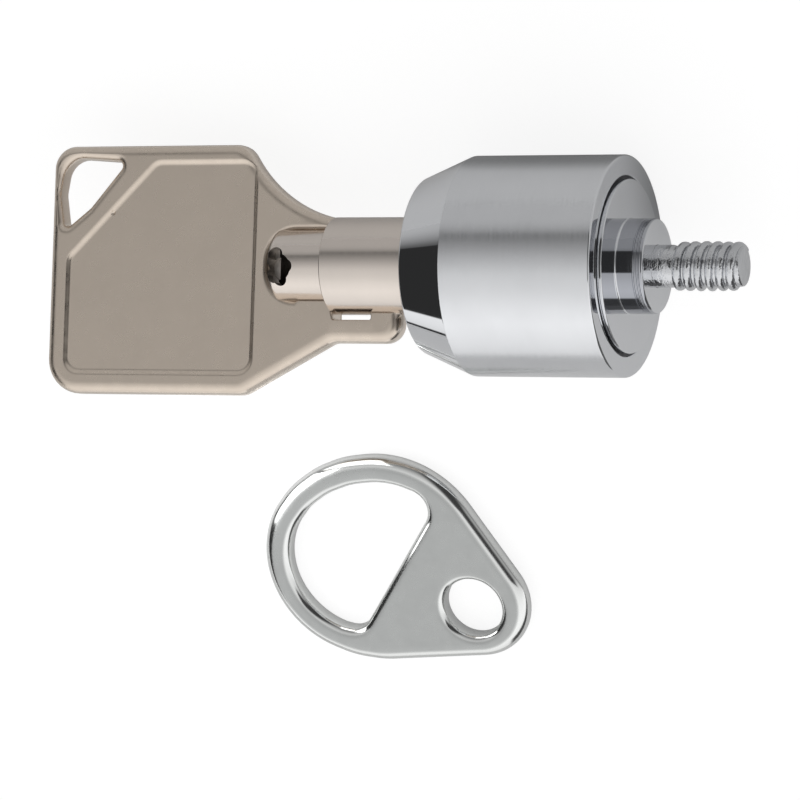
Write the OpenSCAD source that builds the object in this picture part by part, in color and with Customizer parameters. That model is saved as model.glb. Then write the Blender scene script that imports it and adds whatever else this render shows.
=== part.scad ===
/* [Shell] */
// Outer diameter of the free-turning shell
shell_d = 16; // [15.4:0.1:20]
// Length of the cone at the key end of the shell
cone_l = 3.7; // [2.5:0.1:4.5]
// Outer diameter of the nose, where the cone ends
nose_d = 12.9; // [12:0.1:14]
// Bore of the rear bay that the screw carrier turns in
bay_d = 12.94; // [12.6:0.02:13.4]
// Outer diameter of the lock sleeve, pressed into the shell
sleeve_d = 12; // [11.6:0.1:12.4]
// Diameter of the sleeve's neck, which fills the nose opening
neck_d = 10; // [9.4:0.1:10.6]
// Length of the sleeve's neck, to the shoulder inside the cone
neck_l = 3.0; // [2:0.1:3.6]

/* [Key] */
// Outer diameter of the tubular key
tube_d = 7.17; // [6.8:0.01:7.4]
// Bore of the tubular key
tube_bore_d = 5.4; // [5:0.05:5.6]
// Length of tube that stands out of the nose with the key home
tube_out = 7.5; // [5:0.1:12]
// Depth that the key goes into the nose
key_depth = 4.5; // [4:0.1:6]
// Diameter of the necked tail of the tube, staked in the bow
tail_d = 5.5; // [5.4:0.1:6.4]
// Length of the tail
tail_l = 4.6; // [2.5:0.1:4.8]
// Thickness of the bow plate
bow_t = 2.0; // [1.5:0.1:2.6]
// Length of the bow's square part
bow_l = 17.2; // [14:0.1:20]
// Distance from the key's axis to the bow's edge beside the ring hole
bow_top = 9.0; // [8:0.1:11]
// Distance from the key's axis to the bow's opposite edge
bow_bottom = 9.6; // [8:0.1:11]
// Length from the tube's step to the bow's square part
bow_neck = 6.0; // [5.6:0.1:8]
// Corner radius of the bow
bow_corner = 1.7; // [0.8:0.1:2.4]
// Depth of the sunk panel on each face of the bow
panel_depth = 0.2; // [0.1:0.05:0.4]
// Width of the border around the sunk panel
panel_border = 1.4; // [1:0.1:2]
// Width of the arm that runs along the tube
arm_w = 2.1; // [1.6:0.1:2.8]
// Length of the arm along the tube
arm_l = 5.5; // [5:0.1:6.6]
// Width of the slit between the arm and the tube
slit_w = 0.42; // [0.3:0.02:0.7]
// Length of the slit
slit_l = 3.1; // [2:0.1:3.6]
// Roll of the key about its axis as the lock lies
key_roll = -25; // [-60:1:0]

/* [Locking pins] */
// Diameter of the driver pins and of the heads of the key pins
pin_d = 1.1; // [0.9:0.05:1.2]
// Diameter of the shank of a key pin
shank_d = 0.84; // [0.6:0.02:0.86]
// Length of a driver pin
driver_l = 1.3; // [1.2:0.05:1.6]
// Travel of the long-travel pins when the key leaves
travel_long = 1.0; // [0.7:0.05:1.1]
// Travel of the short-travel pins when the key leaves
travel_short = 0.6; // [0.4:0.05:0.8]
// Wire diameter of the pin springs
pin_wire = 0.18; // [0.14:0.01:0.2]
// Turns in a pin spring
pin_turns = 4; // [3:1:5]

/* [Lock core] */
// Length of the rotor's flange, which holds the key pins
flange_l = 2.0; // [1.8:0.1:2.6]
// Outer diameter of the rotor's flange
flange_d = 9.2; // [9:0.1:9.6]
// Length of the stator, which holds the driver pins
stator_l = 3.35; // [3.1:0.05:4.2]
// Diameter of the rotor's spindle
spindle_d = 3.0; // [2.6:0.1:3.2]
// Diameter of the cross pin in the spindle
cross_d = 0.9; // [0.7:0.05:1]
// Length of the cross pin
cross_l = 6.8; // [6:0.1:7]
// Diameter of the dowel that holds the stator in the sleeve
dowel_d = 0.8; // [0.6:0.05:1]

/* [Clutch] */
// Travel of the clutch in a quarter turn of the key
cam_rise = 1.2; // [0.9:0.05:1.4]
// Thickness of the clutch plate
plate_t = 0.6; // [0.5:0.05:0.9]
// Depth of the notches in the screw carrier
notch_depth = 1.2; // [1.1:0.05:1.35]
// Width of a clutch dog
dog_w = 1.1; // [0.9:0.05:1.2]
// Wire diameter of the clutch spring
clutch_wire = 0.3; // [0.25:0.01:0.35]
// Turns in the clutch spring
clutch_turns = 3.5; // [3:0.5:4]

/* [Screw carrier] */
// Thickness of the carrier's disc
carrier_l = 2.2; // [2.1:0.05:3]
// Height of the disc over the shell's rear rim
disc_proud = 0.3; // [0.1:0.05:0.4]
// Diameter of the boss on the disc
boss_d = 6.85; // [6.4:0.05:7.4]
// Length of the boss, to the face that meets the case
boss_l = 2.05; // [1.6:0.05:3]
// Major diameter of the case screw, number 6 with 32 threads an inch
screw_d = 3.5; // [3.4:0.005:3.6]
// Pitch of the case screw
screw_pitch = 0.794; // [0.75:0.002:0.85]
// Depth of the screw's thread
thread_depth = 0.3; // [0.2:0.01:0.35]
// Length of the case screw past the boss
screw_l = 6.5; // [5:0.1:8]
// Length of the plain neck at the root of the screw
screw_neck = 1.0; // [0.6:0.1:1.4]

/* [Cable bracket] */
// Thickness of the bracket
bracket_t = 1.8; // [1.4:0.1:2.4]
// Radius of the bracket's ring end
ring_r = 7.8; // [7.4:0.1:8.4]
// Width of the rim around the D-shaped opening
rim_w = 2.15; // [1.2:0.05:2.4]
// Distance from the middle of the ring end to the opening's straight side
eye_flat = 2.9; // [1:0.1:3.4]
// Radius of the D-shaped opening's corners
eye_corner = 1.7; // [0.6:0.1:2]
// Diameter of the round hole that the case screw goes through
hole_d = 4.7; // [3.9:0.1:5.6]
// Width of the bevel around the bracket's faces
bevel = 0.45; // [0.2:0.05:0.5]

/* [Hidden] */
$fn = 96;
PIN_COUNT = 8;

// Clearances
run_gap = 0.05;                           // radial gap of a turning or sliding fit
face_gap = 0.05;                          // gap between faces that turn on each other
free_gap = 0.1;                           // gap where nothing may rub
over = 1;                                 // how far a cut runs past a face
weld = 0.1;                               // how far joined solids run into each other

// Places along the axis, from the face that meets the case back to the key
carrier_rear = -boss_l;
carrier_front = carrier_rear - carrier_l;
rim_x = carrier_rear - disc_proud;
slider_rear = carrier_front - cam_rise - free_gap;
slider_front = slider_rear - plate_t;
stator_rear = slider_front - cam_rise - free_gap;
stator_front = stator_rear - stator_l;
flange_rear = stator_front - face_gap;
flange_front = flange_rear - flange_l;
key_end = flange_front - free_gap;
nose_x = key_end - key_depth;
edge_x = nose_x + cone_l;
shoulder_x = nose_x + neck_l;
bay_front = carrier_front - 0.3;          // front shoulder of the rear bay
tube_x = nose_x - tube_out;
tail_x = tube_x - tail_l;
square_x = tube_x - bow_neck;
bow_x = square_x - bow_l;

// The lock core
lip_l = 1.1;                              // front lip of the sleeve
lip_r = tube_d / 2 + run_gap + 0.01;
nub_r = tube_d / 2 + 0.5;                 // the key's outer nub
nub_w = 1.2;
nub_l = 1.0;
nub_angle = 22.5;                         // between two pins
chamber_r = nub_r + free_gap;             // room for the nub behind the lip
core_r = flange_d / 2 + run_gap;          // bore for the rotor and the stator
post_r = tube_bore_d / 2 - run_gap - 0.02;
post_front = nose_x + 0.2;                // the post's end, just inside the nose
flute_r = post_r - 0.5;
flute_w = 0.9;
pin_circle_r = (tube_d + tube_bore_d) / 4;
pin_r = pin_d / 2;
shank_r = shank_d / 2;
pin_hole_r = pin_r + run_gap;
shank_hole_r = shank_r + run_gap;
step_x = flange_front + 0.5;              // shoulder that stops a key pin
tip_out = 0.55;                           // a short-travel pin's tip, proud of the flange
spring_floor = stator_rear - 0.55;        // bottom of a driver pin's hole
spring_front = stator_front + driver_l;
spindle_r = spindle_d / 2;
spindle_end = carrier_front + 0.4;
cross_x = slider_front - free_gap / 2 - cross_d / 2;
dowel_x = stator_front + 0.45 * stator_l;
dowel_angle = 67.5;
dowel_in_r = core_r - 1.6;                // how deep the dowel reaches in the stator

// The clutch
cam_r_in = 2.1;
cam_r_out = cross_l / 2 + 0.1;
cam_span = 105;                           // turn over which a ramp stands
slider_r = sleeve_d / 2 - 0.2;
slider_bore_r = spindle_r + free_gap;
ear_w = 2.0;
ear_r = bay_d / 2 - 0.12;
groove_r = bay_d / 2 - 0.02;
dog_r_in = 4.4;
dog_r_out = 5.5;
dog_l = cam_rise + free_gap - 0.15;
dogs = 4;
notches = 12;                             // around the screw carrier
notch_gap = 0.15;                         // around a dog in its notch
notch_angle = 15;                         // puts a notch behind every dog
pocket_r = 3.2;
clutch_coil_r = 2.4;
pocket_floor = carrier_rear - 0.55;
washer_t = 0.3;

// The carrier's groove and its ring
carrier_r = bay_d / 2 - 0.09;
disc_chamfer = 0.15;
ring_t = 0.5;
ring_x = carrier_rear - 0.95;
ring_in_r = carrier_r - 0.36;
ring_out_r = bay_d / 2 + 0.3;
ring_mouth = 70;                          // opening of the ring, in degrees
groove_wall_r = bay_d / 2 - 0.5;          // where the cut of the shell's groove starts

// The case screw
screw_r = screw_d / 2;
screw_root_r = screw_r - thread_depth + 0.08;
screw_seat = 1.5;                         // depth of the screw's plug in the boss
screw_tip = 0.3;                          // length of the rounded end

// The bow
arm_corner = 1.4;
low_corner = 2.6;                         // radius of the bow's corner opposite the ring hole
slit_start = 0.1;                         // from the tube's step to the slit
sweep_r = 10.15;                          // the hollow sweep from the bow's edge to the tube
sweep_at = [tube_x + 1.9, bow_top + 4.5];
panel_corner = 1.3;
panel_end = square_x - 0.1;               // the panel's edge beside the window
panel_cut = [8.6, 8.35];                  // what the panel leaves free around the ring hole
// the round corners of the ring hole: place from the bow's corner, and radius
ring_hole = [[1.36, -5.63, 0.35], [5.32, -1.55, 0.35], [2.5, -2.65, 1.65], [2.15, -3.6, 1.45]];
window_l = tail_l + 0.65;                 // the window that the tail lies in
window_r = 2.35;
bite_r = 1.2;                             // the bite in the staked end of the tail
bite_at = [tail_x + 0.7, -0.4, 1.2];      // its middle and floor
tail_wall = 0.75;
tail_end = 0.6;                           // thickness of the tail's closed end
floor_l = 1.2;                            // solid length between the tail's bore and the tube's

// The cable bracket as it lies beside the lock, on the same level
floor_z = -shell_d / 2;
bracket_x = -29.9;
bracket_y = -26.9;
bulge_at = [2.5, 0.6];
bulge_r = ring_r + 0.6;
swell = 0.3;                              // rise of the outline between ring end and bulge
lug_at = [9.15, -3.0];
lug_r = 4.5;
hole_at = [9.1, -3.35];                   // the round hole, from the ring end's middle
eye_turn = -35;

// Which pins have the long travel
function travel(k) = k % 2 == 0 ? travel_long : travel_short;
function pin_angle(k) = k * 360 / PIN_COUNT;
// The front end of a key pin, against the bottom of its cut
function pin_tip(k) = flange_front - tip_out - (travel_long - travel(k));

// A turned piece about the axis, from points [radius, place along the axis]
module turned(points) {
    rotate([0, 90, 0])
        rotate_extrude()
            polygon(points);
}

// A cylinder along the axis from x0 to x1
module rod(r, x0, x1) {
    translate([x0, 0, 0])
        rotate([0, 90, 0])
            cylinder(h = x1 - x0, r = r);
}

// Copies its child at an angle about the axis and a distance from it
module at_angle(angle, r) {
    rotate([angle, 0, 0])
        translate([0, r, 0])
            children();
}

// A block about the axis: x0 to x1, r0 to r1 outwards, w wide
module radial_block(x0, x1, r0, r1, w) {
    translate([x0, r0, -w / 2])
        cube([x1 - x0, r1 - r0, w]);
}

// A closed wire, coiled about the axis
module coil(x0, x1, coil_r, wire_r, turns, steps, sides) {
    count = round(turns * steps);
    pitch = (x1 - x0 - 2 * wire_r) / turns;
    rings = [
        for (i = [0 : count])
            for (j = [0 : sides - 1])
                let (
                    a = 360 * i / steps,
                    b = 360 * j / sides,
                    r = coil_r + wire_r * cos(b)
                )
                [x0 + wire_r + pitch * a / 360 + wire_r * sin(b), r * cos(a), r * sin(a)]
    ];
    walls = [
        for (i = [0 : count - 1])
            for (j = [0 : sides - 1])
                let (
                    k = (j + 1) % sides,
                    p = i * sides + j,
                    q = i * sides + k
                )
                each [[p, p + sides, q], [q, p + sides, q + sides]]
    ];
    ends = [
        [for (j = [0 : sides - 1]) j],
        [for (j = [sides - 1 : -1 : 0]) count * sides + j]
    ];
    polyhedron(points = rings, faces = concat(walls, ends));
}

// One helical ramp of the clutch, rising towards the key
module ramp(steps) {
    points = [
        for (i = [0 : steps])
            let (
                a = cam_span * i / steps,
                h = min(cam_rise, cam_rise * a / 90),
                x1 = slider_front + weld,
                x0 = slider_front - max(h, 0.001)
            )
            each [
                [x1, cam_r_in * cos(a), cam_r_in * sin(a)],
                [x0, cam_r_in * cos(a), cam_r_in * sin(a)],
                [x0, cam_r_out * cos(a), cam_r_out * sin(a)],
                [x1, cam_r_out * cos(a), cam_r_out * sin(a)]
            ]
    ];
    walls = [
        for (i = [0 : steps - 1])
            for (j = [0 : 3])
                let (
                    p = 4 * i + j,
                    q = 4 * i + (j + 1) % 4
                )
                each [[p, q, p + 4], [q, q + 4, p + 4]]
    ];
    ends = [[3, 2, 1, 0], [4 * steps, 4 * steps + 1, 4 * steps + 2, 4 * steps + 3]];
    polyhedron(points = points, faces = concat(walls, ends));
}

module shell() {
    color([0.72, 0.73, 0.75])
        difference() {
            turned([
                [neck_d / 2, nose_x], [nose_d / 2, nose_x], [shell_d / 2, edge_x], [shell_d / 2, rim_x],
                [bay_d / 2, rim_x], [bay_d / 2, bay_front], [sleeve_d / 2, bay_front],
                [sleeve_d / 2, shoulder_x], [neck_d / 2, shoulder_x]
            ]);
            // two grooves that keep the clutch from turning in the shell
            for (side = [0, 180])
                rotate([side, 0, 0])
                    radial_block(stator_rear, carrier_front, 0, groove_r, ear_w + 2 * free_gap);
            // groove for the retaining ring
            turned([
                [groove_wall_r, ring_x], [ring_out_r, ring_x],
                [ring_out_r, ring_x + ring_t], [groove_wall_r, ring_x + ring_t]
            ]);
        }
}

module lock_sleeve() {
    color([0.78, 0.68, 0.42])
        difference() {
            turned([
                [lip_r, nose_x], [neck_d / 2, nose_x], [neck_d / 2, shoulder_x],
                [sleeve_d / 2, shoulder_x], [sleeve_d / 2, stator_rear],
                [core_r, stator_rear], [core_r, flange_front - face_gap],
                [chamber_r, flange_front - face_gap], [chamber_r, nose_x + lip_l], [lip_r, nose_x + lip_l]
            ]);
            // the key can be drawn out in both of its positions
            for (turn = [0, 90])
                rotate([nub_angle + turn, 0, 0])
                    radial_block(nose_x - over, nose_x + lip_l + over, 0, nub_r + run_gap, nub_w + 2 * free_gap);
            dowel_shape();
        }
}

// A radial dowel, pressed through the sleeve into the stator
module dowel_shape() {
    rotate([dowel_angle, 0, 0])
        translate([dowel_x, dowel_in_r, 0])
            rotate([-90, 0, 0])
                cylinder(h = sleeve_d / 2 - dowel_in_r, r = dowel_d / 2);
}

module rotor() {
    color([0.80, 0.70, 0.44])
        difference() {
            union() {
                rod(post_r, post_front, flange_front + over);
                rod(flange_d / 2, flange_front, flange_rear);
                rod(spindle_r, flange_rear - over, spindle_end);
            }
            for (k = [0 : PIN_COUNT - 1])
                at_angle(pin_angle(k), pin_circle_r) {
                    rod(shank_hole_r, flange_front - over, step_x + over);
                    rod(pin_hole_r, step_x, flange_rear + over);
                }
            // flute for the inner nub of the key
            rotate([nub_angle, 0, 0])
                radial_block(nose_x, flange_front, flute_r, post_r + over, flute_w);
            cross_shape();
        }
}

module cross_shape() {
    translate([cross_x, -cross_l / 2, 0])
        rotate([-90, 0, 0])
            cylinder(h = cross_l, r = cross_d / 2);
}

module cross_pin() {
    color([0.62, 0.63, 0.66])
        cross_shape();
}

module stator() {
    color([0.76, 0.65, 0.40])
        difference() {
            rod(flange_d / 2 + run_gap / 2, stator_front, stator_rear);
            rod(spindle_r + run_gap, stator_front - over, stator_rear + over);
            for (k = [0 : PIN_COUNT - 1])
                at_angle(pin_angle(k), pin_circle_r)
                    rod(pin_hole_r, stator_front - over, spring_floor);
            dowel_shape();
        }
}

module stator_dowel() {
    color([0.62, 0.63, 0.66])
        dowel_shape();
}

// A stepped pin: the shank meets the key, the head stops it in the flange
module key_pin(k) {
    head_x = step_x + travel(k);
    color([0.70, 0.70, 0.68])
        at_angle(pin_angle(k), pin_circle_r) {
            rod(shank_r, pin_tip(k), head_x + 0.1);
            rod(pin_r, head_x, flange_rear);
        }
}

module driver_pin(k) {
    color([0.70, 0.70, 0.68])
        at_angle(pin_angle(k), pin_circle_r)
            rod(pin_r, stator_front, spring_front);
}

module pin_spring(k) {
    color([0.60, 0.61, 0.63])
        at_angle(pin_angle(k), pin_circle_r)
            coil(spring_front, spring_floor, pin_r - pin_wire / 2, pin_wire / 2, pin_turns, 10, 5);
}

module clutch_slider() {
    color([0.55, 0.56, 0.58])
        difference() {
            union() {
                rod(slider_r, slider_front, slider_rear);
                for (side = [0, 180])
                    rotate([side, 0, 0])
                        radial_block(slider_front, slider_rear, slider_r - over, ear_r, ear_w);
                for (d = [0 : dogs - 1])
                    rotate([45 + d * 360 / dogs, 0, 0])
                        radial_block(slider_rear - weld, slider_rear + dog_l, dog_r_in, dog_r_out, dog_w);
                for (side = [0, 180])
                    rotate([side, 0, 0])
                        ramp(21);
            }
            rod(slider_bore_r, slider_front - over, slider_rear + over);
        }
}

module clutch_spring() {
    color([0.60, 0.61, 0.63])
        coil(slider_rear, pocket_floor - washer_t, clutch_coil_r, clutch_wire / 2, clutch_turns, 16, 6);
}

module thrust_washer() {
    color([0.66, 0.60, 0.42])
        turned([
            [spindle_r + 0.2, pocket_floor - washer_t], [pocket_r - 0.1, pocket_floor - washer_t],
            [pocket_r - 0.1, pocket_floor], [spindle_r + 0.2, pocket_floor]
        ]);
}

module screw_carrier() {
    groove_in_r = ring_in_r - free_gap;
    color([0.80, 0.81, 0.83])
        difference() {
            union() {
                turned([
                    [0, carrier_front], [carrier_r, carrier_front], [carrier_r, ring_x - face_gap],
                    [groove_in_r, ring_x - face_gap], [groove_in_r, ring_x + ring_t + face_gap],
                    [carrier_r, ring_x + ring_t + face_gap], [carrier_r, carrier_rear - disc_chamfer],
                    [carrier_r - disc_chamfer, carrier_rear], [0, carrier_rear]
                ]);
                rod(boss_d / 2, carrier_rear - weld, 0);
            }
            rod(pocket_r, carrier_front - over, pocket_floor);
            rod(screw_root_r, -screw_seat, over);
            for (n = [0 : notches - 1])
                rotate([notch_angle + n * 360 / notches, 0, 0])
                    radial_block(
                        carrier_front - over, carrier_front + notch_depth,
                        dog_r_in - notch_gap, dog_r_out + notch_gap, dog_w + 2 * notch_gap
                    );
        }
}

// Rounded ridges and grooves: the crests keep the screw's full diameter
module case_screw() {
    count = floor((screw_l - screw_neck - screw_tip) / screw_pitch);
    start = screw_l - screw_tip - count * screw_pitch;
    root = screw_r - thread_depth;
    flank_r = root + 0.6 * thread_depth;
    ridge = [
        for (i = [0 : count - 1])
            let (x = start + i * screw_pitch)
            each [
                [root, x], [flank_r, x + 0.12 * screw_pitch],
                [screw_r, x + 0.35 * screw_pitch], [screw_r, x + 0.65 * screw_pitch],
                [flank_r, x + 0.88 * screw_pitch]
            ]
    ];
    color([0.78, 0.79, 0.81])
        turned(concat(
            [[0, -screw_seat], [screw_root_r, -screw_seat], [screw_root_r, start - weld]],
            ridge,
            [[root, screw_l - screw_tip], [screw_root_r, screw_l - screw_tip / 2], [root - weld, screw_l], [0, screw_l]]
        ));
}

module retaining_ring() {
    color([0.62, 0.63, 0.66])
        rotate([0, 90, 0])
            translate([0, 0, ring_x])
                rotate([0, 0, ring_mouth / 2])
                    rotate_extrude(angle = 360 - ring_mouth)
                        translate([ring_in_r, 0])
                            square([ring_out_r - ring_in_r, ring_t]);
}

// The key is turned as a whole to the angle at which it lies
module key_barrel() {
    color([0.70, 0.63, 0.555])
        difference() {
            union() {
                rod(tube_d / 2, tube_x, key_end);
                rod(tail_d / 2, tail_x, tube_x + over);
                rotate([nub_angle, 0, 0])
                    radial_block(key_end - 0.3 - nub_l, key_end - 0.3, tube_bore_d / 2, nub_r, nub_w);
            }
            difference() {
                rod(tube_bore_d / 2, tube_x + floor_l, key_end + over);
                rotate([nub_angle, 0, 0])
                    radial_block(key_end - 2.5, key_end, flute_r + free_gap, tube_bore_d / 2 + over, flute_w - free_gap);
            }
            rod(tail_d / 2 - tail_wall, tail_x + tail_end, tube_x + floor_l + over);
            // cuts of two depths that set the pins to the shear plane
            for (k = [0 : PIN_COUNT - 1])
                at_angle(pin_angle(k), pin_circle_r)
                    rod(shank_r + 0.12, pin_tip(k), key_end + over);
            // the bite in the staked end of the tail
            rotate([key_roll, 0, 0])
                translate(bite_at)
                    cylinder(h = tail_d, r = bite_r);
        }
}

// The hollow sweep that narrows the bow towards the tube on one side
module bow_sweep() {
    translate(sweep_at)
        circle(r = sweep_r);
}

// What a rounder corner takes off the bow opposite the ring hole
module low_corner_cut() {
    translate([bow_x - over, -bow_bottom - over])
        difference() {
            square(low_corner + over);
            translate([low_corner + over, low_corner + over])
                circle(r = low_corner);
        }
}

module bow_outline() {
    arm_y = tube_d / 2 + arm_w;
    arm_end = tube_x + arm_l;
    taper = [square_x - 1, -bow_bottom];
    taper_end = [tube_x + 0.1, -arm_y];
    difference() {
        offset(r = bow_corner)
            offset(delta = -bow_corner)
                difference() {
                    polygon([
                        [bow_x, -bow_bottom], taper, taper_end, [taper_end[0], bow_top], [bow_x, bow_top]
                    ]);
                    bow_sweep();
                }
        low_corner_cut();
    }
    // the neck, and the arm beside the tube
    difference() {
        polygon([
            taper + 0.3 * (taper_end - taper), taper_end,
            [arm_end - arm_corner, -arm_y], [arm_end - arm_corner, 0],
            [tube_x, 0], [tube_x + 0.3, tube_d / 2], [square_x, tube_d / 2 + 1.5]
        ]);
        bow_sweep();
    }
    translate([arm_end - arm_corner, -arm_y + arm_corner])
        circle(r = arm_corner);
    translate([arm_end - arm_corner, -arm_y + arm_corner])
        square([arm_corner, arm_w]);
}

module panel_outline() {
    top = bow_top - 0.8 * panel_border;
    bottom = panel_border - bow_bottom;
    offset(r = panel_corner)
        offset(delta = -panel_corner)
            polygon([
                [bow_x + panel_border, bottom], [panel_end, bottom], [panel_end, top],
                [bow_x + panel_cut[0], top], [bow_x + panel_border, bow_top - panel_cut[1]]
            ]);
}

// The rounded triangle for a key ring, from the bow's corner
module ring_hole_outline() {
    hull()
        for (corner = ring_hole)
            translate([bow_x + corner[0], bow_top + corner[1]])
                circle(r = corner[2]);
}

module key_bow() {
    color([0.62, 0.555, 0.47])
        rotate([key_roll, 0, 0])
            difference() {
                translate([0, 0, -bow_t / 2])
                    linear_extrude(bow_t)
                        difference() {
                            bow_outline();
                            ring_hole_outline();
                            // window that the tail lies in
                            hull() {
                                for (side = [-0.5, 0.5])
                                    translate([tube_x - window_l + window_r, side])
                                        circle(r = window_r);
                                translate([tube_x - 1, -tail_d / 2 + 0.2])
                                    square([1.5, tail_d - 0.4]);
                            }
                            // slit between the arm and the tube
                            translate([tube_x + slit_start, -tube_d / 2 - slit_w])
                                square([slit_l, tube_d]);
                        }
                rod(tube_d / 2, tube_x, key_end);
                rod(tail_d / 2, tail_x, tube_x + over);
                for (side = [0, 180])
                    rotate([side, 0, 0])
                        translate([0, 0, bow_t / 2 - panel_depth])
                            linear_extrude(over)
                                scale([1, side == 0 ? 1 : -1])
                                    panel_outline();
            }
}

module bracket_outline(inset) {
    hull() {
        for (share = [0 : 0.25 : 1])
            translate(share * bulge_at)
                circle(r = ring_r + share * (bulge_r - ring_r) + 4 * share * (1 - share) * swell - inset);
        translate(lug_at)
            circle(r = lug_r - inset);
    }
}

module eye_outline() {
    offset(r = eye_corner)
        offset(delta = -eye_corner)
            intersection() {
                bracket_outline(rim_w);
                rotate([0, 0, eye_turn])
                    translate([-2 * ring_r, -2 * ring_r])
                        square([2 * ring_r + eye_flat, 4 * ring_r]);
            }
}

module cable_bracket() {
    color([0.42, 0.43, 0.425])
        translate([bracket_x, bracket_y, floor_z])
            difference() {
                hull() {
                    linear_extrude(bracket_t)
                        bracket_outline(bevel);
                    translate([0, 0, bevel])
                        linear_extrude(bracket_t - 2 * bevel)
                            bracket_outline(0);
                }
                translate([0, 0, -over])
                    linear_extrude(bracket_t + 2 * over)
                        eye_outline();
                translate([hole_at[0], hole_at[1], -over])
                    cylinder(h = bracket_t + 2 * over, r = hole_d / 2);
            }
}

shell();
lock_sleeve();
rotor();
cross_pin();
stator();
stator_dowel();
for (k = [0 : PIN_COUNT - 1]) {
    key_pin(k);
    driver_pin(k);
    pin_spring(k);
}
clutch_slider();
clutch_spring();
thrust_washer();
screw_carrier();
case_screw();
retaining_ring();
key_barrel();
key_bow();
cable_bracket();
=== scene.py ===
import math

import bmesh
import bpy
import numpy as np
from mathutils import Matrix, Vector, geometry


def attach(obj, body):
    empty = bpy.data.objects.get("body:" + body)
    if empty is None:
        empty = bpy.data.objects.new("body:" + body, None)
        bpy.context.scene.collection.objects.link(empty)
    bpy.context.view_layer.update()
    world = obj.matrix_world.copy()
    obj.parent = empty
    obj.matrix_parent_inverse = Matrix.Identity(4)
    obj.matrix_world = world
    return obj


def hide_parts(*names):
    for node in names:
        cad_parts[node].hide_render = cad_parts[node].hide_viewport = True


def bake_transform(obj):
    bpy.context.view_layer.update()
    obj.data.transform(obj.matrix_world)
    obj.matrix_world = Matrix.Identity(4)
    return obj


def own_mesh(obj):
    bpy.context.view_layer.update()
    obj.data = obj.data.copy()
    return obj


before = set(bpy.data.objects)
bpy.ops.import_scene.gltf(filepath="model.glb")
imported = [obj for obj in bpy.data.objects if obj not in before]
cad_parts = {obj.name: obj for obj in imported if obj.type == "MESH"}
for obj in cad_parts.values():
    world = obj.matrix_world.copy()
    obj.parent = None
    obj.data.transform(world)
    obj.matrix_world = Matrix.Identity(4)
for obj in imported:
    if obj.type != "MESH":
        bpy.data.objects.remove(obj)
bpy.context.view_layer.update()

# Camera, table and studio light.
# A long lens looks down at the lock from beside its case screw. The parts lie on a pale table in soft light
# from above, among dark flags that the chrome mirrors, and two white cards light the bracket.
MM = 0.001
TABLE_Z = -8.05
EYE_AT = Vector((109.918, 107.705, 292.657))
EYE_AIM = Vector((-21.471, -10.536, 0))
EYE_ROLL = math.radians(-135.74)


def put_in_scene(name, data):
    """Makes an object of a mesh, a lamp or a camera."""
    thing = bpy.data.objects.new(name, data)
    bpy.context.scene.collection.objects.link(thing)
    return thing


def aimed(place, way):
    """The matrix of something that stands at place, in millimetres, and looks along way."""
    return Matrix.Translation(Vector(place) * MM) @ Vector(way).to_track_quat("-Z", "Y").to_matrix().to_4x4()


eye = bpy.data.cameras.new("studio_eye")
eye.lens = 208.1
eye.sensor_width = 36.0
eye.sensor_fit = "HORIZONTAL"
eye.clip_start = 0.01
eye_stand = put_in_scene("studio_eye", eye)
eye_stand.matrix_world = aimed(EYE_AT, EYE_AIM - EYE_AT) @ Matrix.Rotation(EYE_ROLL, 4, "Z")
bpy.context.scene.camera = eye_stand
bpy.context.scene.view_settings.view_transform = "Standard"


def add(tree, kind, wires, **settings):
    """Puts a node in a tree; wires holds a value or another node's socket for each input."""
    node = tree.nodes.new(kind)
    for name, value in settings.items():
        setattr(node, name, value)
    for socket, value in wires.items():
        if isinstance(value, bpy.types.NodeSocket):
            tree.links.new(value, node.inputs[socket])
        else:
            node.inputs[socket].default_value = value
    return node


def sums(tree, operation, *terms):
    """One arithmetic step between numbers and sockets."""
    return add(tree, "ShaderNodeMath", dict(enumerate(terms)), operation=operation).outputs[0]


def mixed(tree, share, first, second):
    """A colour that goes from the first to the second with share."""
    return add(tree, "ShaderNodeMix", {0: share, 6: first, 7: second}, data_type="RGBA").outputs[2]


def between(tree, value, low, high, soft):
    """1 where value lies between low and high, fading to 0 over the width soft on each side."""
    rise = add(tree, "ShaderNodeMapRange", {0: value, 1: low - soft, 2: low + soft, 3: 0.0, 4: 1.0},
               interpolation_type="SMOOTHSTEP").outputs[0]
    fall = add(tree, "ShaderNodeMapRange", {0: value, 1: high - soft, 2: high + soft, 3: 1.0, 4: 0.0},
               interpolation_type="SMOOTHSTEP").outputs[0]
    return sums(tree, "MULTIPLY", rise, fall)


def ramp(tree, value, stops):
    """A curve of light level through a few stops."""
    node = add(tree, "ShaderNodeValToRGB", {0: value})
    for number, (place, level) in enumerate(stops):
        stop = node.color_ramp.elements[number] if number < 2 else node.color_ramp.elements.new(place)
        stop.position = place
        stop.color = (level, level, level, 1)
    return node.outputs[0]


def patched(tree, tone, first, second, patches):
    """A tone with patches on it. Each says where it starts, where it ends and how soft it is in the first
    direction, the same for the second one, and how bright it is."""
    for low, high, soft, start, stop, fade, level in patches:
        share = sums(tree, "MULTIPLY", between(tree, first, low, high, soft),
                     between(tree, second, start, stop, fade))
        tone = mixed(tree, share, tone, (level, level, level, 1))
    return tone


# how bright the studio is round the lock's axis, by degrees from straight up towards the far side
SKY = [(-110, 0.50), (-88, 0.55), (-84, 0.88), (-75, 0.97), (-60, 1.05), (-42, 1.13), (-24, 1.04), (-6, 0.88),
       (12, 0.78), (24, 0.60), (40, 0.36), (53, 0.17), (57, 0.40), (66, 0.52), (90, 0.52), (110, 0.50)]
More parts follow.
